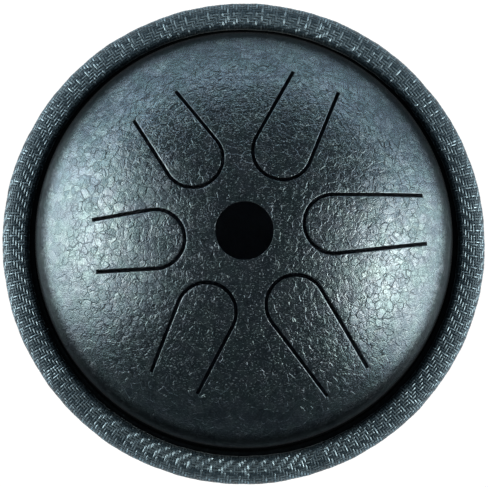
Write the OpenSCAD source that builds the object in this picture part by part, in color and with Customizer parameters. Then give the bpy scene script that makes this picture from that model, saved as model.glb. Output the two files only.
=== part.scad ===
// Six-note steel tongue drum: two pressed steel shells joined at their flanges, six tongues
// in the upper shell, a woven band over the edge trim, and three rubber feet.
// The origin is on the resting plane, under the middle of the drum.

/* [Shells] */
// Outer diameter of the drum, over the woven band
drum_d = 140; // [130:1:170]
// Height of the dome above the seam between the shells
dome_h = 36; // [32:0.5:44]
// Depth of the bowl below the seam
bowl_h = 38; // [34:0.5:46]
// Height of a side wall, from the seam to its shoulder
side_h = 10.4; // [8:0.1:13]
// Draft angle of a side wall, in degrees
side_draft = 4; // [2:0.5:7]
// Radius of the shoulder between a side wall and its crown
shoulder_r = 14; // [10:0.5:16]
// Thickness of the sheet steel
sheet_t = 1.2; // [0.8:0.1:1.6]
// Width of the flange outside the side wall
flange_w = 6.2; // [5.2:0.1:6.8]
// Radius inside the bend between a side wall and its flange
bend_r = 0.8; // [0.4:0.1:1.2]
// Diameter of the sound hole
sound_hole_d = 16.1; // [12:0.1:20]

/* [Tongues] */
// Direction of tongue 1 from +X, in degrees; the others follow at equal steps
first_tongue_a = 4.9; // [0:0.1:60]
// Distance from the drum's axis to the centre of each round tip
tip_centre_r = 24.6; // [23:0.1:27]
// Radius of a tip, to the middle of its slot
tip_r = 8.15; // [7:0.05:9]
// Taper of a tongue's sides towards its root, in degrees
side_taper = 3; // [0.5:0.5:5]
// Width of the slots
slot_w = 1.05; // [0.7:0.05:1.5]
// Gap that parts a tongue from the shell along its bending line
root_gap = 0.1; // [0.08:0.01:0.2]
// Distance from the drum's axis to the root of tongue 1
root_1_r = 50.7; // [40:0.1:52]
// Distance from the drum's axis to the root of tongue 2
root_2_r = 47.4; // [40:0.1:52]
// Distance from the drum's axis to the root of tongue 3
root_3_r = 43.7; // [40:0.1:52]
// Distance from the drum's axis to the root of tongue 4
root_4_r = 41.8; // [40:0.1:52]
// Distance from the drum's axis to the root of tongue 5
root_5_r = 45.7; // [40:0.1:52]
// Distance from the drum's axis to the root of tongue 6
root_6_r = 50.1; // [40:0.1:52]

/* [Rim] */
// Width of the rim, over the band
rim_w = 8.3; // [7.6:0.1:9]
// Height of the rim, over the band
rim_h = 8.8; // [8:0.1:10]
// Rounding of the rim's outer edges
rim_outer_r = 2.4; // [1.8:0.1:3]
// Rounding of the rim's inner edges
rim_inner_r = 1.5; // [1.2:0.1:2]
// Thickness of the woven band
band_t = 0.7; // [0.4:0.05:0.9]
// Height of the band's hem on the inner face of the trim
band_hem_h = 2.4; // [2:0.1:2.8]
// Width of the groove between the rim and the dome's side wall
groove_w = 1.4; // [1:0.1:2]

/* [Feet] */
// Distance from the drum's axis to each foot
foot_ring_r = 33; // [30:0.5:38]
// Direction of foot 1 from +X, in degrees
first_foot_a = 90; // [0:5:120]
// Height of the bowl's lowest point above the resting plane
foot_clear = 4; // [3.6:0.1:8]
// Diameter of a foot where it stands
foot_base_d = 15; // [13:0.5:16]
// Diameter of a foot where it meets the bowl
foot_top_d = 18; // [16:0.5:20]
// Rounding of a foot's standing edge
foot_edge_r = 1.2; // [0.8:0.1:1.6]
// Diameter of the recess under a foot
recess_d = 8; // [7.6:0.1:8.6]
// Depth of the recess under a foot
recess_h = 3.4; // [2.8:0.1:4]
// Diameter of the washer in the recess
washer_d = 7.2; // [6.8:0.1:7.5]
// Thickness of the washer in the recess
washer_t = 0.8; // [0.6:0.1:1]
// Diameter of the rivet's shank
rivet_d = 3.2; // [2.4:0.1:4]
// Diameter of the rivet's head
rivet_head_d = 6.4; // [5.6:0.1:7]
// Height of the rivet's head
rivet_head_h = 1.1; // [0.8:0.1:1.4]
// Diameter of the hollow left by the rivet's mandrel
rivet_hollow_d = 1.8; // [1.2:0.1:2]
// Diameter of the rivet's upset end, inside the bowl
upset_d = 5.2; // [4.6:0.1:6]
// Height of the rivet's upset end above the sheet
upset_h = 2.4; // [1.6:0.1:3]

/* [Hidden] */
$fn = 120;

steel_colour = "#3a4850";
band_colour = "#2b3238";
rubber_colour = "#17191b";
zinc_colour = "#a9adb0";

// Clearance between touching pieces that aren't flat against each other
seat_gap = 0.05;
// Clearance between a rivet's shank and its holes
shank_gap = 0.1;
// How far a cut runs past the surface that it opens
overrun = 3;

// Straight steps that make up a shell's shoulder and its bend
shoulder_steps = 10;
bend_steps = 5;
// How far a line runs on past its end, as a share of its last step
run_on_share = 0.5;
// How far a tongue's side line starts inside its tip, as a share of the tip's radius
tuck_share = 0.002;

tongue_roots = [root_1_r, root_2_r, root_3_r, root_4_r, root_5_r, root_6_r];
foot_count = 3;

seam_z = foot_clear + bowl_h;
rim_inner_x = drum_d / 2 - rim_w;
wall_x = rim_inner_x - groove_w;
flange_x = wall_x + flange_w;

// Surface of a pressed shell, with its seam on z = 0 and its crown at the given height.
// Crown, shoulder, side wall, bend and flange meet at tangents. The crown is a ball's surface.
// An inset moves every surface in, square to itself, so that two of them enclose the sheet.

shoulder_x = wall_x - side_h * tan(side_draft) - shoulder_r * cos(side_draft);
shoulder_y = side_h - shoulder_r * sin(side_draft);
bend_y = sheet_t + bend_r;
bend_x = wall_x - bend_y * tan(side_draft) + bend_r / cos(side_draft);

// Radius of the crown that runs from the shoulder to the given height
function crown_radius(height) =
    let (rise = height - shoulder_y)
    (pow(shoulder_x, 2) + pow(rise, 2) - pow(shoulder_r, 2)) / (2 * (rise - shoulder_r));

// Direction from the crown's centre to the circle where it meets the shoulder
function meeting_angle(height) =
    atan2(shoulder_y - height + crown_radius(height), shoulder_x);

// How far the crown's surface lies below its top, at a distance from the axis
function crown_drop(radius, distance) = radius - sqrt(pow(radius, 2) - pow(distance, 2));

function arc(centre, r, from_a, to_a, steps) = [
    for (i = [0 : steps])
        let (a = from_a + (to_a - from_a) * i / steps)
        centre + r * [cos(a), sin(a)]
];

// A point that runs on past a line's end, so that the next surface cuts it cleanly
function run_on(points) =
    let (last = len(points) - 1)
    points[last] + (points[last] - points[last - 1]) * run_on_share;

function side_outline(height, inset) =
    let (
        bend = arc([bend_x, bend_y], bend_r + inset, 270, 180 + side_draft, bend_steps),
        shoulder = arc(
            [shoulder_x, shoulder_y], shoulder_r - inset,
            side_draft, meeting_angle(height), shoulder_steps
        ),
        top = run_on(shoulder)
    )
    concat(bend, shoulder, [top, [top.x, height + overrun], [0, height + overrun]]);

module crown_ball(height, inset) {
    radius = crown_radius(height);
    translate([0, 0, height - radius])
        sphere(r = radius - inset);
}

module pressed_shell(height) {
    flange = [[0, 0], [flange_x, 0], [flange_x, sheet_t]];
    mouth = [[0, -overrun], [bend_x, -overrun]];
    difference() {
        intersection() {
            crown_ball(height, 0);
            rotate_extrude()
                polygon(concat(flange, side_outline(height, 0)));
        }
        intersection() {
            crown_ball(height, sheet_t);
            rotate_extrude()
                polygon(concat(mouth, side_outline(height, sheet_t)));
        }
    }
}

// Outline of a tongue along +X. Its side lines leave the round tip at a tangent, from just
// inside it so that line and circle cross cleanly. spread moves the outline out from the middle
// of the slot, and root_r is where it ends.
module tongue_outline(spread, root_r) {
    r = tip_r + spread;
    side_x = tip_centre_r + r * sin(side_taper);
    side_y = r * cos(side_taper) * (1 - tuck_share);
    root_y = side_y - (root_r - side_x) * tan(side_taper);
    translate([tip_centre_r, 0])
        circle(r = r);
    polygon([
        [side_x, side_y],
        [side_x, -side_y],
        [root_r, -root_y],
        [root_r, root_y]
    ]);
}

module at_tongue(number) {
    step_a = 360 / len(tongue_roots);
    rotate(first_tongue_a + (number - 1) * step_a)
        children();
}

module upper_shell() {
    color(steel_colour)
    translate([0, 0, seam_z])
    difference() {
        pressed_shell(dome_h);
        translate([0, 0, dome_h / 2])
            cylinder(d = sound_hole_d, h = dome_h / 2 + overrun);
        for (number = [1 : len(tongue_roots)])
            at_tongue(number)
                linear_extrude(dome_h + overrun)
                    tongue_outline(slot_w / 2, tongue_roots[number - 1]);
    }
}

module tongue(number) {
    color(steel_colour)
    translate([0, 0, seam_z])
    intersection() {
        pressed_shell(dome_h);
        at_tongue(number)
            linear_extrude(dome_h + overrun)
                tongue_outline(-slot_w / 2, tongue_roots[number - 1] - root_gap);
    }
}

module lower_shell() {
    color(steel_colour)
    difference() {
        translate([0, 0, seam_z])
            mirror([0, 0, 1])
                pressed_shell(bowl_h);
        at_feet()
            cylinder(d = rivet_d + 2 * shank_gap, h = seam_z);
    }
}

// Section of the rim, rounded at its edges, drawn in by inset on every side
module rim_section(inset) {
    half_h = rim_h / 2 - inset;
    inner_r = rim_inner_r - inset;
    outer_r = rim_outer_r - inset;
    inner_x = rim_inner_x + inset;
    outer_x = drum_d / 2 - inset;
    translate([inner_x + inner_r, -half_h])
        square([outer_x - outer_r - inner_x - inner_r, 2 * half_h]);
    translate([inner_x, inner_r - half_h])
        square([inner_r, 2 * (half_h - inner_r)]);
    translate([outer_x - outer_r, outer_r - half_h])
        square([outer_r, 2 * (half_h - outer_r)]);
    for (side = [-1, 1]) {
        translate([inner_x + inner_r, side * (half_h - inner_r)])
            circle(r = inner_r);
        translate([outer_x - outer_r, side * (half_h - outer_r)])
            circle(r = outer_r);
    }
}

// Moulded channel pressed over both flanges
module edge_trim() {
    grip = sheet_t + seat_gap;
    color(rubber_colour)
    translate([0, 0, seam_z])
    rotate_extrude()
    difference() {
        rim_section(band_t + seat_gap);
        translate([rim_inner_x, -grip])
            square([flange_x + seat_gap - rim_inner_x, 2 * grip]);
    }
}

// Woven band drawn round the trim and hemmed on its inner face
module rim_band() {
    open_h = rim_h - 2 * band_hem_h;
    color(band_colour)
    translate([0, 0, seam_z])
    rotate_extrude()
    difference() {
        rim_section(0);
        rim_section(band_t);
        translate([rim_inner_x - overrun, -open_h / 2])
            square([overrun + rim_w / 2, open_h]);
    }
}

module at_foot(number) {
    rotate(first_foot_a + (number - 1) * 360 / foot_count)
        translate([foot_ring_r, 0, 0])
            children();
}

module at_feet() {
    for (number = [1 : foot_count])
        at_foot(number)
            children();
}

// Ball of the bowl's crown, which cuts a piece to the bowl's curve
module bowl_ball(inset) {
    translate([0, 0, seam_z])
        mirror([0, 0, 1])
            crown_ball(bowl_h, inset);
}

module foot(number) {
    base_r = foot_base_d / 2;
    top_r = foot_top_d / 2;
    top_z = foot_clear + crown_drop(crown_radius(bowl_h), foot_ring_r + top_r);
    color(rubber_colour)
    difference() {
        at_foot(number)
            rotate_extrude() {
                polygon([
                    [0, 0],
                    [base_r - foot_edge_r, 0],
                    [base_r - foot_edge_r, foot_edge_r],
                    [base_r, foot_edge_r],
                    [top_r, top_z],
                    [0, top_z]
                ]);
                translate([base_r - foot_edge_r, foot_edge_r])
                    circle(r = foot_edge_r);
            }
        at_foot(number)
            translate([0, 0, -overrun])
                cylinder(d = recess_d, h = recess_h + overrun);
        at_foot(number)
            cylinder(d = rivet_d + 2 * shank_gap, h = top_z);
        bowl_ball(-seat_gap);
    }
}

module foot_washers() {
    color(zinc_colour)
    at_feet()
        translate([0, 0, recess_h - washer_t])
            difference() {
                cylinder(d = washer_d, h = washer_t);
                translate([0, 0, -overrun])
                    cylinder(d = rivet_d + 2 * shank_gap, h = washer_t + 2 * overrun);
            }
}

// Pulled rivets: head under the washer, shank through foot and bowl, upset end inside the bowl
module foot_rivets() {
    head_z = recess_h - washer_t;
    sheet_z = foot_clear + crown_drop(crown_radius(bowl_h), foot_ring_r) + sheet_t;
    color(zinc_colour)
    difference() {
        union() {
            at_feet()
                translate([0, 0, head_z - rivet_head_h])
                    cylinder(d1 = rivet_head_d - rivet_head_h, d2 = rivet_head_d, h = rivet_head_h);
            at_feet()
                translate([0, 0, head_z - rivet_head_h])
                    cylinder(d = rivet_d, h = sheet_z + upset_h - head_z + rivet_head_h);
            intersection() {
                at_feet()
                    translate([0, 0, head_z])
                        cylinder(d = upset_d, h = sheet_z + upset_h - head_z);
                bowl_ball(sheet_t + seat_gap);
            }
        }
        at_feet()
            translate([0, 0, head_z - rivet_head_h - overrun])
                cylinder(d = rivet_hollow_d, h = sheet_z - head_z + rivet_head_h + overrun);
    }
}

upper_shell();
tongue(1);  // tongue_1
tongue(2);  // tongue_2
tongue(3);  // tongue_3
tongue(4);  // tongue_4
tongue(5);  // tongue_5
tongue(6);  // tongue_6
lower_shell();
edge_trim();
rim_band();
foot(1);  // foot_1
foot(2);  // foot_2
foot(3);  // foot_3
foot_washers();
foot_rivets();
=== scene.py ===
"""Looks of the six-note steel tongue drum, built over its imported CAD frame.

The pressed shells and the tongues get a hammered lacquer with a real relief, the rim a twill band
with a relief of its own yarns, and the fittings rubber and zinc. Lengths are in millimetres until
they go into a mesh, which is in metres.
"""

import math

import bpy
import numpy as np
from mathutils import Matrix, Vector
from mathutils.geometry import delaunay_2d_cdt


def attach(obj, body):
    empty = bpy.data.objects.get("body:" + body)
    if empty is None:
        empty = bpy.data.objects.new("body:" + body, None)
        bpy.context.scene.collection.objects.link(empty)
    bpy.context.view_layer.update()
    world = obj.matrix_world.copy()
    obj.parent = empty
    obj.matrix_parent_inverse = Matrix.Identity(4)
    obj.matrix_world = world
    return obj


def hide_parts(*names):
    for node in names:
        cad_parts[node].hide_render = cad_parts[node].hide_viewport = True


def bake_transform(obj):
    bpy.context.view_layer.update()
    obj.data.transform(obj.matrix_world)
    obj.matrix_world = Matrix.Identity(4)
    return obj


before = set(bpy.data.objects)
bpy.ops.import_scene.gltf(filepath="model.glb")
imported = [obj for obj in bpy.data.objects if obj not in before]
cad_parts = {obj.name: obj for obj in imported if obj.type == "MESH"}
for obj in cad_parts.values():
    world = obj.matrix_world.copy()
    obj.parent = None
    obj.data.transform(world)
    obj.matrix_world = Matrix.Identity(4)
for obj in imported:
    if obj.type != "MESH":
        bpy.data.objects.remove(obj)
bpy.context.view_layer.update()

MM = 0.001

# Sizes of the CAD source
SEAM_Z = 42.0
SHEET = 1.2
DOME_H, BOWL_H = 36.0, 38.0
SHOULDER_R = 14.0
DRAFT = math.radians(4)
WALL_X, WALL_H = 60.3, 10.4
BEND_R = 0.8
FLANGE_X = 66.5
HOLE_R = 8.05
TIP_X, TIP_R = 24.6, 8.15
TAPER = math.radians(3)
SLOT = 1.05 / 2
FIRST_TONGUE = math.radians(4.9)
ROOTS = [50.7, 47.4, 43.7, 41.8, 45.7, 50.1]
RIVET_RING, RIVET_HOLE_R = 33.0, 1.7

SHOULDER_X = WALL_X - WALL_H * math.tan(DRAFT) - SHOULDER_R * math.cos(DRAFT)
SHOULDER_H = WALL_H - SHOULDER_R * math.sin(DRAFT)
BEND_H = SHEET + BEND_R
BEND_X = WALL_X - BEND_H * math.tan(DRAFT) + BEND_R / math.cos(DRAFT)

# The hammered lacquer: width of a pool, how far the pools wander, and width of the finer cells
POOL, WANDER, FINE_CELL = 2.3, 2.3, 1.05
# The lacquer is rolled off by this much at a cut edge, over this distance from it
ROLL, ROLL_REACH = 0.06, 0.28
# Rows of points beside each cut, by their distance from it
EDGE_ROWS = (0.06, 0.14, 0.30)

# Steps along a shell's shoulder, wall, bend and flange
OUTER_STEPS, INNER_STEPS = (19, 12, 4, 3), (7, 3, 3, 1)
INNER_SPACING = 3.2

# The woven band: its section, its yarns, and where the twill's slant turns back
BAND_IN, BAND_OUT, CREST_X, HALF_H = 61.7, 70.0, 64.6, 5.1
INNER_FORM, OUTER_FORM, BAND_T, HEM_Z = 4.2, 2.6, 0.7, 2.6
BAND_SINK = 0.10
WEFTS, ROWS = 504, 32
TURNS = (7, 16, 25)
YARN_RISE, YARN_CROWN, YARN_HOLD = 0.06, 0.20, 1.3
# The plain hem gives way to the twill between these places, counted in yarns from the edge
HEM_START, HEM_END = 0.25, 0.90
# Yarns that lie past each edge, tucked under the hem
TUCKED = 1.6


# Node sums


class Sum:
    """A number socket in a node tree. Each sum with it adds a Math node."""

    def __init__(self, tree, socket):
        self.tree, self.socket = tree, socket

    def math(self, operation, *others, clamp=False):
        node = self.tree.nodes.new("ShaderNodeMath")
        node.operation, node.use_clamp = operation, clamp
        for slot, value in zip(node.inputs, (self, *others)):
            put(self.tree, slot, value)
        return Sum(self.tree, node.outputs[0])

    def __add__(self, other):
        return self.math("ADD", other)

    def __sub__(self, other):
        return self.math("SUBTRACT", other)

    def __mul__(self, other):
        return self.math("MULTIPLY", other)

    def floor(self):
        return self.math("FLOOR")

    def fract(self):
        return self.math("FRACT")

    def absolute(self):
        return self.math("ABSOLUTE")

    def larger(self, other):
        return self.math("MAXIMUM", other)

    def clamped(self, low=0.0, high=1.0):
        return self.math("MAXIMUM", low).math("MINIMUM", high)

    def step(self, low, high, start=0.0, end=1.0):
        """Rises smoothly from start at low to end at high."""
        node = self.tree.nodes.new("ShaderNodeMapRange")
        node.interpolation_type = "SMOOTHSTEP"
        for slot, value in zip(node.inputs, (self, low, high, start, end)):
            put(self.tree, slot, value)
        return Sum(self.tree, node.outputs[0])


def put(tree, slot, value):
    """Links a socket or sets a value."""
    if isinstance(value, Sum):
        tree.links.new(value.socket, slot)
    elif isinstance(value, bpy.types.NodeSocket):
        tree.links.new(value, slot)
    else:
        slot.default_value = value


def vector(tree, operation, *values, scale=None):
    node = tree.nodes.new("ShaderNodeVectorMath")
    node.operation = operation
    for slot, value in zip(node.inputs, values):
        put(tree, slot, value)
    if scale is not None:
        put(tree, node.inputs["Scale"], scale)
    return node.outputs["Vector"]


def measured(tree, operation, *values):
    """A vector operation whose result is a number, such as LENGTH or DOT_PRODUCT."""
    node = tree.nodes.new("ShaderNodeVectorMath")
    node.operation = operation
    for slot, value in zip(node.inputs, values):
        put(tree, slot, value)
    return Sum(tree, node.outputs["Value"])


def noise(tree, place, scale, detail=2.0, rough=0.5, colour=False):
    node = tree.nodes.new("ShaderNodeTexNoise")
    node.inputs["Scale"].default_value = scale
    node.inputs["Detail"].default_value = detail
    node.inputs["Roughness"].default_value = rough
    tree.links.new(place, node.inputs["Vector"])
    return node.outputs["Color"] if colour else Sum(tree, node.outputs[0])


def cells(tree, place, scale, feature="DISTANCE_TO_EDGE"):
    node = tree.nodes.new("ShaderNodeTexVoronoi")
    node.feature = feature
    node.inputs["Scale"].default_value = scale
    tree.links.new(place, node.inputs["Vector"])
    return node


def ramp(tree, value, *stops):
    """A colour ramp: each stop is (place, (red, green, blue))."""
    node = tree.nodes.new("ShaderNodeValToRGB")
    points = node.color_ramp.elements
    while len(points) < len(stops):
        points.new(0.5)
    for point, (place, colour) in zip(points, stops):
        point.position = place
        point.color = (*colour, 1.0)
    put(tree, node.inputs[0], value)
    return node.outputs["Color"]


# The hammered lacquer's relief


def pools(tree, rest):
    """A point's place among the wandering pools, in mm, and its distance to a pool's edge."""
    wander = vector(tree, "SUBTRACT", noise(tree, rest, 0.38, 2, 0.6, True), (0.5, 0.5, 0.5))
    place = vector(tree, "ADD", rest, vector(tree, "SCALE", wander, scale=WANDER))
    return place, Sum(tree, cells(tree, place, 1 / POOL).outputs["Distance"])


def creases(tree, rest, place, edge):
    """How deep the creases are, 0 to 1: round the pools, and round smaller ones here and there."""
    whole = noise(tree, rest, 0.45, 2).step(0.36, 0.60, 0.2, 1.0)
    broken = noise(tree, rest, 0.55, 2).step(0.38, 0.56)
    fine_edge = Sum(tree, cells(tree, place, 1 / FINE_CELL).outputs["Distance"])
    wide = edge.step(0.0, 0.10, 1.0, 0.0) * whole
    return wide.larger(fine_edge.step(0.0, 0.14, 0.55, 0.0) * broken)


def leaning(tree, place):
    """Each pool's own lean, as a height in mm over its middle, and its own tone."""
    nearest = cells(tree, place, 1 / POOL, "F1")
    own = vector(tree, "SUBTRACT", nearest.outputs["Color"], (0.5, 0.5, 0.5))
    away = vector(tree, "SUBTRACT", place, nearest.outputs["Position"])
    return measured(tree, "DOT_PRODUCT", own, away), Sum(tree, nearest.outputs["Color"])


def pool_heights(points):
    """The pools' height at each point, from the same nodes that the material uses."""
    mesh = bpy.data.meshes.new("probe")
    mesh.vertices.add(len(points))
    mesh.vertices.foreach_set("co", points.astype(np.float32).ravel())
    probe = bpy.data.objects.new("probe", mesh)
    bpy.context.scene.collection.objects.link(probe)
    tree = bpy.data.node_groups.new("probe", "GeometryNodeTree")
    tree.interface.new_socket("Geometry", in_out="INPUT", socket_type="NodeSocketGeometry")
    tree.interface.new_socket("Geometry", in_out="OUTPUT", socket_type="NodeSocketGeometry")
    start, end = tree.nodes.new("NodeGroupInput"), tree.nodes.new("NodeGroupOutput")
    place = tree.nodes.new("GeometryNodeInputPosition").outputs[0]
    store = tree.nodes.new("GeometryNodeStoreNamedAttribute")
    store.data_type, store.domain = "FLOAT", "POINT"
    store.inputs["Name"].default_value = "pool"
    pool = pools(tree, place)[1].step(0.0, 0.32)
    tree.links.new(start.outputs[0], store.inputs["Geometry"])
    put(tree, store.inputs["Value"], pool)
    tree.links.new(store.outputs["Geometry"], end.inputs[0])
    modifier = probe.modifiers.new("probe", "NODES")
    modifier.node_group = tree
    made = probe.evaluated_get(bpy.context.evaluated_depsgraph_get()).data
    heights = np.zeros(len(points), np.float32)
    made.attributes["pool"].data.foreach_get("value", heights)
    bpy.data.objects.remove(probe)
    bpy.data.meshes.remove(mesh)
    bpy.data.node_groups.remove(tree)
    return heights.astype(float)


# Mesh making


class Sheet:
    """A mesh in the making. Faces of one kind share smooth normals, and kinds meet at an edge."""

    def __init__(self):
        self.points, self.faces, self.kinds, self.rest = np.zeros((0, 3)), [], [], np.zeros((0, 3))

    def add(self, points, rest=None):
        first = len(self.points)
        self.points = np.vstack([self.points, points])
        self.rest = np.vstack([self.rest, points if rest is None else rest])
        return first

    def face(self, kind, faces):
        self.faces.extend(faces)
        self.kinds.extend([kind] * len(faces))

    def corner_normals(self):
        """One normal for each face corner, smooth within a kind."""
        out = [None] * len(self.faces)
        kinds = np.array(self.kinds)
        for kind in np.unique(kinds):
            picked = np.nonzero(kinds == kind)[0]
            total = np.zeros_like(self.points)
            for size in (3, 4):
                index = [i for i in picked if len(self.faces[i]) == size]
                if not index:
                    continue
                f = np.array([self.faces[i] for i in index])
                p = self.points
                across = np.cross(p[f[:, -2]] - p[f[:, 0]], p[f[:, -1]] - p[f[:, 1]]) if size == 4 \
                    else np.cross(p[f[:, 1]] - p[f[:, 0]], p[f[:, 2]] - p[f[:, 0]])
                for k in range(size):
                    np.add.at(total, f[:, k], across)
            length = np.linalg.norm(total, axis=1)
            total[length > 0] /= length[length > 0, None]
            for i in picked:
                out[i] = total[list(self.faces[i])]
        return out

    def piece(self, name, wanted=None, normals=None):
        """Makes an object of the wanted faces, or of all."""
        normals = self.corner_normals() if normals is None else normals
        wanted = range(len(self.faces)) if wanted is None else wanted
        faces = [self.faces[i] for i in wanted]
        used, where = np.unique(np.concatenate([np.array(f) for f in faces]), return_inverse=True)
        mesh = bpy.data.meshes.new(name)
        loops, at = [], 0
        for f in faces:
            loops.append(where[at:at + len(f)].tolist())
            at += len(f)
        mesh.from_pydata((self.points[used] * MM).tolist(), [], loops)
        look = np.array([{"outer": 0, "inner": 2}.get(self.kinds[i], 1) for i in wanted], np.int32)
        mesh.polygons.foreach_set("material_index", look)
        attribute = mesh.attributes.new("rest", "FLOAT_VECTOR", "POINT")
        attribute.data.foreach_set("vector", self.rest[used].astype(np.float32).ravel())
        mesh.shade_smooth()
        mesh.normals_split_custom_set(np.concatenate([normals[i] for i in wanted]).tolist())
        thing = bpy.data.objects.new(name, mesh)
        bpy.context.scene.collection.objects.link(thing)
        return thing


def ring_quads(first, second, n):
    """Quads between two closed rings of n points."""
    return [(first + i, second + i, second + (i + 1) % n, first + (i + 1) % n) for i in range(n)]


def round_points(radius, n, centre=(0.0, 0.0)):
    a = np.arange(n) * 2 * math.pi / n
    return np.stack([centre[0] + radius * np.cos(a), centre[1] + radius * np.sin(a)], axis=1)


# Pressed shells


def crown_radius(height):
    rise = height - SHOULDER_H
    return (SHOULDER_X**2 + rise**2 - SHOULDER_R**2) / (2 * (rise - SHOULDER_R))


def side_profile(height, inset, steps):
    """(distance, height, normal out, normal up) from the crown's end to the flange's edge."""
    tilt = math.asin(SHOULDER_X / (crown_radius(height) - SHOULDER_R))
    shoulder, wall, bend, flange = steps
    r = SHOULDER_R - inset
    line = [
        (SHOULDER_X + r * math.sin(t), SHOULDER_H + r * math.cos(t), math.sin(t), math.cos(t))
        for t in np.linspace(tilt, math.pi / 2 - DRAFT, shoulder + 1)
    ]
    r = BEND_R + inset
    turn = [
        (BEND_X + r * math.cos(a), BEND_H + r * math.sin(a), -math.cos(a), -math.sin(a))
        for a in np.linspace(math.pi + DRAFT, 1.5 * math.pi, bend + 1)
    ]
    top, foot = np.array(line[-1]), np.array(turn[0])
    line += [tuple(top + (foot - top) * i / wall) for i in range(1, wall)]
    line += turn
    last = np.array(line[-1])
    line += [(last[0] + (FLANGE_X - last[0]) * i / flange, *last[1:]) for i in range(1, flange + 1)]
    return np.array(line)


def tongue_place(xy, number):
    """Along and across tongue number, from the drum's axis."""
    a = FIRST_TONGUE + number * math.pi / 3
    return xy @ np.array([math.cos(a), math.sin(a)]), xy @ np.array([-math.sin(a), math.cos(a)])


def from_middle(u, v):
    """Distance from the middle of a slot: above 0 outside the tongue, below 0 on it."""
    v = np.abs(v)
    side = (u - TIP_X - TIP_R * math.sin(TAPER)) * math.cos(TAPER) \
        - (v - TIP_R * math.cos(TAPER)) * math.sin(TAPER)
    straight = (u - TIP_X) * math.sin(TAPER) + v * math.cos(TAPER) - TIP_R
    return np.where(side > 0, straight, np.hypot(u - TIP_X, v) - TIP_R)


def slot_line(number, spread, spacing):
    """Points along a slot at a distance from its middle, from one root to the other."""
    root = ROOTS[number]
    r = TIP_R + spread
    x, y = TIP_X + r * math.sin(TAPER), r * math.cos(TAPER)
    root_y = y - (root - x) * math.tan(TAPER)
    n = max(2, round(math.hypot(root - x, y - root_y) / spacing))
    line = [(root + (x - root) * i / n, root_y + (y - root_y) * i / n) for i in range(n)]
    sweep = 2 * math.pi - 2 * (math.pi / 2 - TAPER)
    m = max(8, round(r * sweep / spacing))
    line += [
        (TIP_X + r * math.cos(a), r * math.sin(a))
        for a in np.linspace(math.pi / 2 - TAPER, math.pi / 2 - TAPER + sweep, m + 1)
    ]
    line += [(u, -v) for u, v in line[:n][::-1]]
    a = FIRST_TONGUE + number * math.pi / 3
    turn = np.array([[math.cos(a), math.sin(a)], [-math.sin(a), math.cos(a)]])
    return np.array(line) @ turn


def cut_distance(xy, slots, holes):
    """Distance to the nearest cut edge, and below 0 inside a cut."""
    found = np.full(len(xy), 1e9)
    for number in slots:
        u, v = tongue_place(xy, number)
        off = np.abs(from_middle(u, v)) - SLOT
        past = u - ROOTS[number]
        beyond = np.hypot(past, np.maximum(off, 0))
        found = np.minimum(found, np.where(past > 0, beyond, off))
    for x, y, r in holes:
        found = np.minimum(found, np.hypot(xy[:, 0] - x, xy[:, 1] - y) - r)
    return found


def hole_steps(radius, edge):
    return max(24, round(2 * math.pi * radius / edge))


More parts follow.
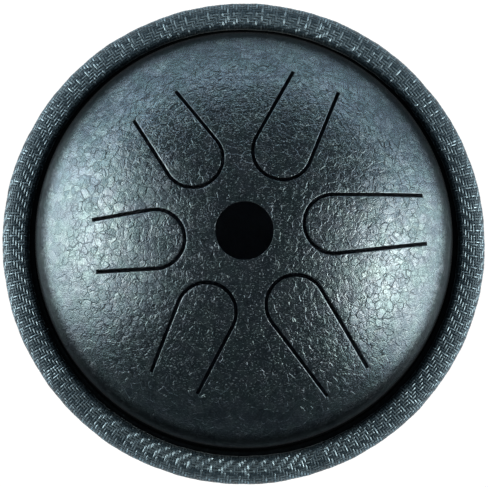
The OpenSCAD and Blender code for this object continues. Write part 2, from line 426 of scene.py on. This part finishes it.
def crown(radius, ring, n, spacing, edge, slots, holes, rows):
    """Triangles of a crown with its cuts: points (x, y), triangles and the cuts' loops.

    The triangles are laid out on the crown's unrolled surface, so that they are even on it."""

    def flat(xy):
        r = np.hypot(xy[:, 0], xy[:, 1])
        return xy * (radius * np.arcsin(r / radius) / np.maximum(r, 1e-9))[:, None]

    def back(xy):
        s = np.hypot(xy[:, 0], xy[:, 1])
        return xy * (radius * np.sin(s / radius) / np.maximum(s, 1e-9))[:, None]

    parts, lines, loops, count = [round_points(ring, n)], [], [], n
    lines += [(i, (i + 1) % n) for i in range(n)]

    def closed(xy):
        nonlocal count
        parts.append(xy)
        index = list(range(count, count + len(xy)))
        lines.extend(zip(index, index[1:] + index[:1]))
        loops.append(index)
        count += len(xy)

    for number in slots:
        outer = slot_line(number, SLOT, edge)
        inner = slot_line(number, -SLOT, edge)[::-1]
        ends = [outer[-1] + (inner[0] - outer[-1]) * k / 3 for k in (1, 2)]
        ends_2 = [inner[-1] + (outer[0] - inner[-1]) * k / 3 for k in (1, 2)]
        start = count
        closed(np.vstack([outer, ends, inner, ends_2]))
        first, last = start + len(outer) + 2, start + len(outer) + 1 + len(inner)
        a, b = inner[0], inner[-1]
        m = max(2, round(np.linalg.norm(b - a) / spacing))
        parts.append(np.array([a + (b - a) * k / m for k in range(1, m)]))
        chain = [first, *range(count, count + m - 1), last]
        lines.extend(zip(chain, chain[1:]))
        count += m - 1
    for x, y, r in holes:
        closed(round_points(r, hole_steps(r, edge), (x, y)))

    loose = []
    for row in rows:
        for number in slots:
            loose.append(slot_line(number, SLOT + row, edge))
            loose.append(slot_line(number, -SLOT - row, edge))
        for x, y, r in holes:
            loose.append(round_points(r + row, hole_steps(r, edge), (x, y)))
    arc = radius * math.asin(ring / radius)
    high = spacing * math.sqrt(3) / 2
    js = np.arange(-int(arc / high), int(arc / high) + 1)
    i_s = np.arange(-int(arc / spacing) - 1, int(arc / spacing) + 2)
    grid = np.array([((i + 0.5 * (j % 2)) * spacing, j * high) for j in js for i in i_s])
    grid = back(grid[np.hypot(grid[:, 0], grid[:, 1]) < arc - 0.55 * spacing])
    reach = (rows[-1] if rows else 0) + 0.5 * min(spacing, 1.0)
    keep = cut_distance(grid, slots, holes) > reach
    for number in slots:
        u, v = tongue_place(grid, number)
        near_root = np.abs(u - ROOTS[number]) < 0.45 * spacing
        keep &= ~(near_root & (from_middle(u, v) < -SLOT + 0.1))
    loose.append(grid[keep])
    everything = np.vstack(parts + loose)
    flat_points = flat(everything)
    result = delaunay_2d_cdt([Vector(p) for p in flat_points], lines, [], 0, 1e-6, True)
    source = [o[0] if len(o) else -1 for o in result[3]]
    extra = [i for i, s in enumerate(source) if s < 0]
    if extra:
        everything = np.vstack([everything, back(np.array([result[0][i] for i in extra]))])
        for k, i in enumerate(extra):
            source[i] = len(flat_points) + k
    source = np.array(source)
    triangles = source[np.array(result[2])]
    a, b, c = (everything[triangles[:, k]] for k in range(3))
    turned = np.cross(b - a, c - a) < 0
    triangles[turned] = triangles[turned][:, ::-1]
    middle = (a + b + c) / 3
    inside = np.abs(np.cross(b - a, c - a)) > 1e-9
    inside &= np.hypot(middle[:, 0], middle[:, 1]) < ring
    inside &= cut_distance(middle, slots, holes) > 0
    return everything, triangles[inside], loops


def pressed(height, up, spacing, edge, slots, holes, relief, ring_n):
    """One pressed shell as a Sheet, with its outer face, inner face and cut walls.

    The crown's points are spacing apart, and edge apart along its cuts. The relief is the
    lacquer's depth, and ring_n counts the points round the shoulder."""
    ball = crown_radius(height)
    ring = ball * SHOULDER_X / (ball - SHOULDER_R)
    sheet = Sheet()

    def lay(xy, inset, drop=None):
        r = np.hypot(xy[:, 0], xy[:, 1])
        h = height - ball + np.sqrt((ball - inset) ** 2 - r**2)
        if drop is not None:
            h = h - drop
        return np.column_stack([xy, SEAM_Z + up * h])

    def turned(tris):
        return tris if up > 0 else tris[:, ::-1]

    # Outer face: the crown, then rings down to the flange's edge
    xy, tris, loops = crown(ball, ring, ring_n, spacing, edge, slots, holes, EDGE_ROWS)
    used = np.unique(np.concatenate([tris.ravel(), np.arange(ring_n)]))
    rest = lay(xy, 0.0)
    away = np.maximum(cut_distance(xy, slots, holes), 0)
    roll = ROLL * np.clip(1 - away / ROLL_REACH, 0, 1) ** 2.2
    crown_points = lay(xy, 0.0, roll)
    centre = np.array([0, 0, SEAM_Z + up * (height - ball)])
    out = (rest - centre) / ball
    crown_points += out * (relief * (pool_heights(rest) - 1))[:, None]
    first = sheet.add(crown_points, rest)
    sheet.face("outer", [tuple(t) for t in (turned(tris) + first).tolist()])
    profile = side_profile(height, 0.0, OUTER_STEPS)
    around = round_points(1.0, ring_n)
    rings = []
    for r, h, nr, nh in profile[1:]:
        place = np.column_stack([around * r, np.full(ring_n, SEAM_Z + up * h)])
        normal = np.column_stack([around * nr, np.full(ring_n, up * nh)])
        fade = relief if r < WALL_X + 0.1 else 0.0
        moved = place + normal * (fade * (pool_heights(place) - 1))[:, None]
        rings.append(sheet.add(moved, place))
    order = [first, *rings]
    for a, b in zip(order, order[1:]):
        quads = ring_quads(a, b, ring_n)
        sheet.face("outer", quads if up > 0 else [q[::-1] for q in quads])

    # Inner face, coarser
    xy_in, tris_in, loops_in = crown(
        ball, ring, ring_n, INNER_SPACING, edge, slots, holes, ()
    )
    shrink = (ball - SHEET) / ball
    on_ring = np.hypot(xy_in[:, 0], xy_in[:, 1]) > ring - 1e-6
    xy_in = np.where(on_ring[:, None], xy_in * shrink, xy_in)
    first_in = sheet.add(lay(xy_in, SHEET))
    flipped = (turned(tris_in) + first_in)[:, ::-1]
    sheet.face("inner", [tuple(t) for t in flipped.tolist()])
    profile = side_profile(height, SHEET, INNER_STEPS)
    order_in = [first_in]
    for r, h, _, _ in profile[1:]:
        place = np.column_stack([around * r, np.full(ring_n, SEAM_Z + up * h)])
        order_in.append(sheet.add(place))
    for a, b in zip(order_in, order_in[1:]):
        quads = ring_quads(b, a, ring_n)
        sheet.face("inner", quads if up > 0 else [q[::-1] for q in quads])
    quads = ring_quads(order[-1], order_in[-1], ring_n)
    sheet.face("edge", quads if up > 0 else [q[::-1] for q in quads])

    # Walls of the cuts
    for k, (loop, loop_in) in enumerate(zip(loops, loops_in)):
        n = len(loop)
        for i in range(n):
            a, b = loop[i] + first, loop[(i + 1) % n] + first
            c, d = loop_in[(i + 1) % n] + first_in, loop_in[i] + first_in
            sheet.face(f"cut {k}", [(a, b, c, d)])
    return sheet


def wall_directions(sheet):
    """Turns each wall face so that it looks into its cut: away from the metal beside it."""
    taken = set()
    for face, kind in zip(sheet.faces, sheet.kinds):
        if kind == "outer":
            taken.update((face[i], face[(i + 1) % len(face)]) for i in range(len(face)))
    for i, (face, kind) in enumerate(zip(sheet.faces, sheet.kinds)):
        if kind.startswith("cut") and (face[0], face[1]) in taken:
            sheet.faces[i] = (face[1], face[0], face[3], face[2])


bpy.context.scene.view_settings.view_transform = "Standard"

dome = pressed(
    DOME_H, up=1, spacing=0.7, edge=0.5, slots=range(6), holes=[(0.0, 0.0, HOLE_R)],
    relief=0.022, ring_n=540,
)
wall_directions(dome)
rivets = [
    (RIVET_RING * math.cos(math.radians(a)), RIVET_RING * math.sin(math.radians(a)), RIVET_HOLE_R)
    for a in (90, 210, 330)
]
bowl = pressed(
    BOWL_H, up=-1, spacing=0.9, edge=0.5, slots=[], holes=rivets, relief=0.05, ring_n=480,
)
wall_directions(bowl)

# A face belongs to a tongue if its middle lies inside the tongue's outline
centres = np.array([dome.points[list(f)].mean(0) for f in dome.faces])
owner = np.full(len(dome.faces), -1)
for number in range(6):
    u, v = tongue_place(centres[:, :2], number)
    on_it = (u < ROOTS[number]) & (from_middle(u, v) < -SLOT + 0.02) & (centres[:, 2] > 60)
    owner[on_it] = number
normals = dome.corner_normals()
upper = dome.piece("dome_shell", np.nonzero(owner < 0)[0].tolist(), normals)
tongues = [
    dome.piece(f"dome_tongue_{number + 1}", np.nonzero(owner == number)[0].tolist(), normals)
    for number in range(6)
]
lower = bowl.piece("bowl_shell")


# Woven band


def band_path():
    """The band's section, from the back of one hem to the back of the other.

    Gives (place, normal) rows, the length at each, and the lengths where the hems turn back.
    It is a rounded roll that is highest near its inner side and falls away to its outer side."""
    t = np.linspace(0, math.pi / 2, 400)
    quarters = []
    for width, form in ((CREST_X - BAND_IN, INNER_FORM), (BAND_OUT - CREST_X, OUTER_FORM)):
        quarters.append((width * np.cos(t) ** (2 / form), HALF_H * np.sin(t) ** (2 / form)))
    (x_in, z_in), (x_out, z_out) = quarters
    x = np.concatenate([CREST_X - x_in, (CREST_X + x_out)[::-1][1:]])
    z = np.concatenate([z_in, z_out[::-1][1:]])
    keep = (z > HEM_Z) | (x > CREST_X)
    x, z = x[keep], z[keep]
    x, z = np.concatenate([x, x[::-1][1:]]), np.concatenate([z, -z[::-1][1:]])
    back = np.linspace(0, math.pi, 14)[:-1]
    half = BAND_T / 2
    hem_x = x[0] + half + half * np.cos(back)
    hem_z = z[0] - half * np.sin(back)
    tail_x, tail_z = np.full(4, x[0] + BAND_T), z[0] + np.linspace(0.6, 0.1, 4)
    first = len(tail_x) + len(hem_x)
    line = np.column_stack([
        np.concatenate([tail_x, hem_x, x, hem_x[::-1], tail_x[::-1]]),
        np.concatenate([tail_z, hem_z, z, -hem_z[::-1], -tail_z[::-1]]),
    ])
    last = first + len(x) - 1
    along = np.concatenate([[0], np.cumsum(np.hypot(*np.diff(line, axis=0).T))])
    even = np.linspace(0, along[-1], 1200)
    place = np.stack([np.interp(even, along, line[:, k]) for k in (0, 1)], axis=1)
    lead = np.gradient(place, axis=0)
    lead /= np.linalg.norm(lead, axis=1)[:, None]
    out = np.column_stack([place, -lead[:, 1], lead[:, 0]])
    out[:, 1] += SEAM_Z
    return out, even, along[first], along[last]


def yarn_height(u, v):
    """Height of the twill at a place counted in yarns, in mm: the higher of the two yarns there."""
    first, middle, last = TURNS

    def shift(x):
        return first - np.abs(np.abs(x - middle) - (middle - first))

    def crown_of(x):
        f = x - np.floor(x)
        return 4 * f * (1 - f)

    def lift(x):
        return np.clip(YARN_HOLD * np.cos((x - 0.5) * math.pi / 2), -1, 1)

    across = YARN_RISE * lift(np.floor(u) + shift(v - 0.5)) + YARN_CROWN * crown_of(u)
    along = -YARN_RISE * lift(u - 0.5 + shift(np.floor(v))) + YARN_CROWN * crown_of(v)
    return np.maximum(across, along)


def make_band():
    line, along, start, end = band_path()
    pitch = (end - start) / ROWS
    tucked = round(TUCKED * 2)
    v = np.arange(-tucked, 2 * ROWS + tucked + 1) / 2
    at = np.clip(start + v * pitch, along[0], along[-1])
    section = np.stack([np.interp(at, along, line[:, k]) for k in range(4)], axis=1)
    section[:, 2:] /= np.linalg.norm(section[:, 2:], axis=1)[:, None]
    u = np.arange(2 * WEFTS + 1) / 2
    a = u / WEFTS * 2 * math.pi
    uu, vv = np.meshgrid(u, v, indexing="ij")
    top = YARN_RISE * 0.92 + YARN_CROWN
    plain = np.clip((np.minimum(vv, ROWS - vv) - HEM_START) / (HEM_END - HEM_START), 0, 1)
    depth = (yarn_height(uu, np.clip(vv, 0, ROWS - 1e-6)) - top) * plain
    # The band's slack round the rim, in mm
    wave = 0.07 * np.sin(a * 7 + 0.6) * np.sin(a * 3 + 2.0) + 0.04 * np.sin(a * 19 + 1.0)
    wave = wave + 0.06 * np.sin(a * 47) * np.sin(a * 11 + 0.5)
    depth = depth - BAND_SINK - wave[:, None]
    r = section[None, :, 0] + section[None, :, 2] * depth
    z = section[None, :, 1] + section[None, :, 3] * depth
    points = np.stack([r * np.cos(a)[:, None], r * np.sin(a)[:, None], z], axis=2)
    n, m = len(u), len(v)
    i, j = np.meshgrid(np.arange(n - 1), np.arange(m - 1), indexing="ij")
    k = i * m + j
    quads = np.stack([k, k + 1, k + m + 1, k + m], axis=2).reshape(-1, 4)
    mesh = bpy.data.meshes.new("woven_rim_band")
    mesh.from_pydata((points.reshape(-1, 3) * MM).tolist(), [], quads.tolist())
    attribute = mesh.attributes.new("yarns", "FLOAT_VECTOR", "POINT")
    yarns = np.stack([uu, vv, np.zeros_like(uu)], axis=2).astype(np.float32)
    attribute.data.foreach_set("vector", yarns.ravel())
    mesh.shade_smooth()
    thing = bpy.data.objects.new("woven_rim_band", mesh)
    bpy.context.scene.collection.objects.link(thing)
    return thing, at[-1] - at[0]


band, band_wrap = make_band()


# Materials


def material(name):
    made = bpy.data.materials.new(name)
    made.use_nodes = True
    tree = made.node_tree
    return made, tree, tree.nodes["Principled BSDF"]


def attribute(tree, name):
    node = tree.nodes.new("ShaderNodeAttribute")
    node.attribute_name = name
    return node.outputs["Vector"]


def bump(tree, height, distance, under=None):
    """Height is in units of distance, which is in mm."""
    node = tree.nodes.new("ShaderNodeBump")
    node.inputs["Strength"].default_value = 1.0
    node.inputs["Distance"].default_value = distance * MM
    put(tree, node.inputs["Height"], height)
    if under is not None:
        tree.links.new(under, node.inputs["Normal"])
    return node.outputs["Normal"]


def lacquer():
    """Dark slate hammered lacquer with aluminium flake: pools parted by fine creases."""
    made, tree, shader = material("hammered_lacquer")
    rest = attribute(tree, "rest")
    place, edge = pools(tree, rest)
    crease = creases(tree, rest, place, edge)
    lean, own = leaning(tree, place)
    grain = noise(tree, rest, 2.4, 3, 0.6)
    cloud = noise(tree, rest, 0.12, 3, 0.55)
    stretched = vector(tree, "MULTIPLY", rest, (0.5, 1.0, 1.0))
    flake = noise(tree, stretched, 3.0, 2, 0.5).step(0.56, 0.72)
    radius = measured(tree, "LENGTH", vector(tree, "MULTIPLY", rest, (1.0, 1.0, 0.0)))
    # The colour is darkened on the shoulder as painted shade, and the creases and flake get weaker
    # towards it
    shoulder = (radius + noise(tree, rest, 1.1, 3, 0.6) * 2.6).step(55.4, 58.9)
    clear = radius.step(46.0, 54.0, 1.0, 0.55)
    tone = grain * 0.40 + cloud * 0.30 + own * 0.30
    colour = ramp(
        tree, tone, (0.32, (0.060, 0.088, 0.104)), (0.5, (0.084, 0.119, 0.138)),
        (0.68, (0.118, 0.157, 0.176)),
    )
    flake = flake * radius.step(41.0, 51.0, 1.0, 0.3)
    bright = vector(tree, "SCALE", (0.80, 0.96, 1.0), scale=flake * 0.115)
    colour = vector(tree, "ADD", colour, bright)
    hue = ramp(
        tree, noise(tree, rest, 0.24, 2),
        (0.36, (1.035, 0.985, 1.03)), (0.64, (0.965, 1.012, 0.985)),
    )
    # Painted shade: the base colour is darkened in the creases and on the shoulder
    painted_shade = (crease * clear * -0.42 + 1.0) * (shoulder * -0.85 + 1.0)
    colour = vector(tree, "MULTIPLY", colour, hue)
    put(tree, shader.inputs["Base Color"], vector(tree, "SCALE", colour, scale=painted_shade))
    put(tree, shader.inputs["Metallic"], flake * -0.42 + 0.93)
    shader.inputs["Specular Tint"].default_value = (0.06, 0.07, 0.08, 1)
    put(tree, shader.inputs["Roughness"], grain * 0.10 + 0.17 + shoulder * 0.08)
    shader.inputs["Coat Weight"].default_value = 0.05
    shader.inputs["Coat Roughness"].default_value = 0.1
    flat = edge.step(0.0, 0.12) * clear
    # The crown's slope reaches a little further out over the shoulder than its mesh does
    height = measured(tree, "DOT_PRODUCT", rest, (0.0, 0.0, 1.0))
    normal = bump(tree, height.step(52.4, 63.4, 3.6, 0.0), 1.0)
    normal = bump(tree, flat * 0.2 - crease * clear, 0.042, normal)
    normal = bump(tree, lean * flat, 0.060, normal)
    peel = noise(tree, rest, 2.8, 2, 0.55) * radius.step(40.0, 52.0, 0.75, 1.9)
    normal = bump(tree, peel, 0.034, normal)
    put(tree, shader.inputs["Normal"], normal)
    put(tree, shader.inputs["Coat Normal"], normal)
    return made


def inside(name, dark, light):
    """The cut walls or the inside of the shells: a dull coat with a sooty grain."""
    made, tree, shader = material(name)
    rest = attribute(tree, "rest")
    grain = noise(tree, rest, 1.6, 3, 0.6)
    cloud = noise(tree, rest, 0.15, 2)
    put(tree, shader.inputs["Base Color"], ramp(
        tree, grain * 0.5 + cloud * 0.5, (0.3, dark), (0.7, light)
    ))
    put(tree, shader.inputs["Roughness"], grain * 0.3 + 0.5)
    shader.inputs["Specular IOR Level"].default_value = 0.15
    put(tree, shader.inputs["Normal"], bump(tree, grain, 0.05))
    return made


def weave():
    """Two-up two-down twill whose slant turns back in a herringbone, with plain hems."""
    made, tree, shader = material("twill_band")
    yarns = attribute(tree, "yarns")
    part = tree.nodes.new("ShaderNodeSeparateXYZ")
    tree.links.new(yarns, part.inputs[0])
    u, v = Sum(tree, part.outputs[0]), Sum(tree, part.outputs[1])
    first, middle, _ = TURNS

    def shift(x):
        return ((x - middle).absolute() - (middle - first)).absolute() * -1.0 + first

    def crown_of(x):
        f = x.fract()
        return f * (f * -1.0 + 1.0) * 4.0

    def lift(x):
        return (((x - 0.5) * (math.pi / 2)).math("COSINE") * YARN_HOLD).clamped(-1.0, 1.0)

    across = lift(u.floor() + shift(v - 0.5)) * YARN_RISE + crown_of(u) * YARN_CROWN
    along = lift(u - 0.5 + shift(v.floor())) * -YARN_RISE + crown_of(v) * YARN_CROWN
    height = across.larger(along)
    on_top = across.math("GREATER_THAN", along)
    edge = v.math("MINIMUM", v * -1.0 + ROWS)
    plain = edge.step(HEM_START, HEM_END)
    high = YARN_RISE + YARN_CROWN
    raised = height.step(high * 0.35, high)

    # Each yarn has its own tone, and its fibres run along it with a slight twist
    pick = tree.nodes.new("ShaderNodeCombineXYZ")
    put(tree, pick.inputs[0], u.floor() * on_top)
    put(tree, pick.inputs[1], v.floor() * (on_top * -1.0 + 1.0))
    put(tree, pick.inputs[2], on_top)
    own = tree.nodes.new("ShaderNodeTexWhiteNoise")
    tree.links.new(pick.outputs[0], own.inputs["Vector"])
    own = Sum(tree, own.outputs["Value"])
    fibre_place = tree.nodes.new("ShaderNodeCombineXYZ")
    other = on_top * -1.0 + 1.0
    put(tree, fibre_place.inputs[0], (u * 5.0 + v * 0.9) * on_top + (v * 5.0 + u * 0.9) * other)
    put(tree, fibre_place.inputs[1], v * 0.5 * on_top + u * 0.5 * other)
    fibre = noise(tree, fibre_place.outputs[0], 1.0, 1)
    patch = noise(tree, yarns, 0.09, 2)
    bright = (own * 0.75 + patch * 0.5).step(0.50, 0.95)
    glint = raised.step(0.35, 0.85) * bright * plain
    # Painted shade: the colour darkens from each yarn's crown down into the gaps between the yarns
    tone = raised * 0.56 + own * 0.16 + patch * 0.18 + fibre * 0.10
    colour = ramp(
        tree, tone, (0.10, (0.0014, 0.0026, 0.0036)), (0.45, (0.0065, 0.0128, 0.018)),
        (0.80, (0.019, 0.034, 0.045)), (1.0, (0.042, 0.066, 0.082)),
    )
    shine = vector(tree, "SCALE", (0.17, 0.235, 0.27), scale=glint)
    colour = vector(tree, "SCALE", vector(tree, "ADD", colour, shine), scale=plain)
    # The hems' pale grey colour is a painted highlight, standing for light caught along the band's
    # edge
    hem_highlight_tone = (fibre * 0.8 + 0.6) * (plain * -1.0 + 1.0)
    hem = vector(tree, "SCALE", (0.085, 0.083, 0.082), scale=hem_highlight_tone)
    put(tree, shader.inputs["Base Color"], vector(tree, "ADD", colour, hem))
    put(tree, shader.inputs["Metallic"], glint * 0.85)
    put(tree, shader.inputs["Roughness"], fibre * 0.12 + 0.33 - glint * 0.14)
    shader.inputs["Specular IOR Level"].default_value = 0.62
    shader.inputs["Specular Tint"].default_value = (0.56, 0.82, 1.0, 1)
    shader.inputs["Sheen Weight"].default_value = 0.11
    shader.inputs["Sheen Roughness"].default_value = 0.35
    shader.inputs["Sheen Tint"].default_value = (0.70, 0.90, 1.0, 1)
    relief = height * plain * (own * 0.8 + 0.7) + fibre * 0.015
    normal = bump(tree, relief, 1.0)
    put(tree, shader.inputs["Normal"], normal)
    return made


def rubber(name, dark, light, gloss, mould):
    made, tree, shader = material(name)
    place = tree.nodes.new("ShaderNodeTexCoord").outputs["Object"]
    speckle = noise(tree, place, 900, 3, 0.6)
    cloud = noise(tree, place, 60, 3)
    put(tree, shader.inputs["Base Color"], ramp(
        tree, speckle * 0.4 + cloud * 0.6, (0.3, dark), (0.7, light)
    ))
    put(tree, shader.inputs["Roughness"], cloud * 0.2 + gloss)
    shader.inputs["Specular IOR Level"].default_value = 0.35
    put(tree, shader.inputs["Normal"], bump(tree, speckle, mould))
    return made


def zinc():
    made, tree, shader = material("zinc_plate")
    place = tree.nodes.new("ShaderNodeTexCoord").outputs["Object"]
    spangle = Sum(tree, cells(tree, place, 1400, "F1").outputs["Distance"])
    grain = noise(tree, place, 2500, 3)
    put(tree, shader.inputs["Base Color"], ramp(
        tree, spangle * 0.5 + grain * 0.5, (0.2, (0.42, 0.44, 0.45)), (0.8, (0.62, 0.64, 0.65))
    ))
    shader.inputs["Metallic"].default_value = 1.0
    put(tree, shader.inputs["Roughness"], grain * 0.25 + 0.25)
    put(tree, shader.inputs["Normal"], bump(tree, grain, 0.02))
    return made


steel = lacquer()
cut_look = inside("sooty_cut", (0.010, 0.012, 0.014), (0.026, 0.031, 0.035))
inner_look = inside("primed_inside", (0.14, 0.17, 0.22), (0.26, 0.30, 0.37))
twill = weave()
trim_rubber = rubber("trim_rubber_looks", (0.006, 0.007, 0.008), (0.014, 0.015, 0.017), 0.5, 0.02)
foot_rubber = rubber("foot_rubber_looks", (0.010, 0.011, 0.012), (0.022, 0.023, 0.025), 0.62, 0.05)
zinc_plate = zinc()

for thing in (upper, lower, *tongues):
    for look in (steel, cut_look, inner_look):
        thing.data.materials.append(look)
band.data.materials.append(twill)
for node in ("edge_trim", "foot_1", "foot_2", "foot_3", "foot_washers", "foot_rivets"):
    look = trim_rubber if node == "edge_trim" else foot_rubber if node[5].isdigit() else zinc_plate
    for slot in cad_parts[node].material_slots:
        slot.material = look

# What each piece stands for and rides on

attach(upper, "drum")
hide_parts("upper_shell")
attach(lower, "drum")
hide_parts("lower_shell")
for number, thing in enumerate(tongues):
    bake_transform(thing)
    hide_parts(f"tongue_{number + 1}")
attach(band, "drum")
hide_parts("rim_band")

# Floor, light and camera


def seen_by_eye(tree):
    """1 for what the camera sees, also in metal and through glass, and 0 for light that falls."""
    path = tree.nodes.new("ShaderNodeLightPath")
    names = ("Is Camera Ray", "Is Glossy Ray", "Is Transmission Ray")
    camera, glossy, transmission = (Sum(tree, path.outputs[name]) for name in names)
    return camera.larger(glossy).larger(transmission)


side = 4.0
corners = [(-side, -side, 0), (side, -side, 0), (side, side, 0), (-side, side, 0)]
mesh = bpy.data.meshes.new("floor")
mesh.from_pydata(corners, [], [(0, 1, 2, 3)])
floor = bpy.data.objects.new("floor", mesh)
bpy.context.scene.collection.objects.link(floor)
made = bpy.data.materials.new("pale_floor")
made.use_nodes = True
tree = made.node_tree
tree.nodes.clear()
matt = tree.nodes.new("ShaderNodeBsdfDiffuse")
matt.inputs["Color"].default_value = (0.22, 0.22, 0.22, 1)
glow = tree.nodes.new("ShaderNodeEmission")
glow.inputs["Color"].default_value = (1, 1, 1, 1)
place = tree.nodes.new("ShaderNodeTexCoord").outputs["Object"]
far = measured(tree, "LENGTH", place).step(0.2, 1.4, 0.86, 1.0)
put(tree, glow.inputs["Strength"], seen_by_eye(tree) * far)
both = tree.nodes.new("ShaderNodeAddShader")
tree.links.new(matt.outputs[0], both.inputs[0])
tree.links.new(glow.outputs[0], both.inputs[1])
output = tree.nodes.new("ShaderNodeOutputMaterial")
tree.links.new(both.outputs[0], output.inputs["Surface"])
mesh.materials.append(made)

world = bpy.data.worlds.new("studio")
bpy.context.scene.world = world
world.use_nodes = True
tree = world.node_tree
background = tree.nodes["Background"]
background.inputs["Color"].default_value = (0.70, 0.88, 1.0, 1)
background.inputs["Strength"].default_value = 0.065

# A white backdrop just above the floor's edge, seen but not lighting anything
direction = tree.nodes.new("ShaderNodeSeparateXYZ")
tree.links.new(tree.nodes.new("ShaderNodeTexCoord").outputs["Generated"], direction.inputs[0])
low = Sum(tree, direction.outputs["Z"]).step(0.07, 0.12, 1.0, 0.0)
backdrop = tree.nodes.new("ShaderNodeBackground")
backdrop.inputs["Color"].default_value = (1, 1, 1, 1)
mixed = tree.nodes.new("ShaderNodeMixShader")
put(tree, mixed.inputs[0], seen_by_eye(tree) * low)
tree.links.new(background.outputs[0], mixed.inputs[1])
tree.links.new(backdrop.outputs[0], mixed.inputs[2])
tree.links.new(mixed.outputs[0], tree.nodes["World Output"].inputs["Surface"])


def softbox(name, azimuth, elevation, distance, wide, high, radiance, colour):
    """A rectangular lamp facing the drum's middle, as bright as a surface of that radiance."""
    light = bpy.data.lights.new(name, "AREA")
    light.shape, light.size, light.size_y = "RECTANGLE", wide, high
    light.color = colour
    light.energy = radiance * wide * high * math.pi
    lamp = bpy.data.objects.new(name, light)
    a, e = math.radians(azimuth), math.radians(elevation)
    away = Vector((math.cos(a) * math.cos(e), math.sin(a) * math.cos(e), math.sin(e)))
    middle = Vector((0, 0, 0.06))
    lamp.location = middle + away * distance
    lamp.rotation_mode = "QUATERNION"
    lamp.rotation_quaternion = away.to_track_quat("Z", "Y")
    bpy.context.scene.collection.objects.link(lamp)


SILK, WARM, COOL = (1.0, 0.975, 0.93), (1.0, 0.86, 0.72), (0.90, 0.96, 1.0)
softbox("left_softbox", 175, 31, 0.9, 0.90, 0.48, 3.4, SILK)
softbox("left_core", 177, 33, 0.9, 0.40, 0.22, 6.8, WARM)
softbox("left_low", 175, 6, 0.9, 0.85, 0.20, 7.0, SILK)
softbox("left_high", 175, 53, 0.9, 0.7, 0.26, 1.4, SILK)
softbox("right_softbox", -6, 32, 0.9, 0.90, 0.44, 3.5, SILK)
softbox("right_core", -9, 37, 0.9, 0.44, 0.24, 8.0, WARM)
softbox("right_low", -8, 7, 0.9, 0.85, 0.20, 6.5, SILK)
softbox("right_high", -6, 54, 0.9, 0.5, 0.22, 0.8, SILK)
softbox("back_fill", 92, 25.4, 1.3, 1.6, 0.195, 3.85, COOL)
softbox("back_left", 141, 25.5, 1.3, 0.9, 0.23, 3.7, COOL)
softbox("back_right", 38, 25.2, 1.3, 1.0, 0.20, 3.35, COOL)

data = bpy.data.cameras.new("camera")
data.lens, data.sensor_width = 153.4, 36.0
camera = bpy.data.objects.new("camera", data)
bpy.context.scene.collection.objects.link(camera)
bpy.context.scene.camera = camera
eye = Vector((-0.0034, -0.0530, 0.6429))
target = Vector((0.00007, -0.00047, SEAM_Z * MM))
camera.location = eye
camera.rotation_mode = "QUATERNION"
back = (eye - target).normalized()
right = Vector((0, 1, 0)).cross(back).normalized()
camera.rotation_quaternion = Matrix((right, back.cross(right), back)).transposed().to_quaternion()
data.clip_start, data.clip_end = 0.01, 20
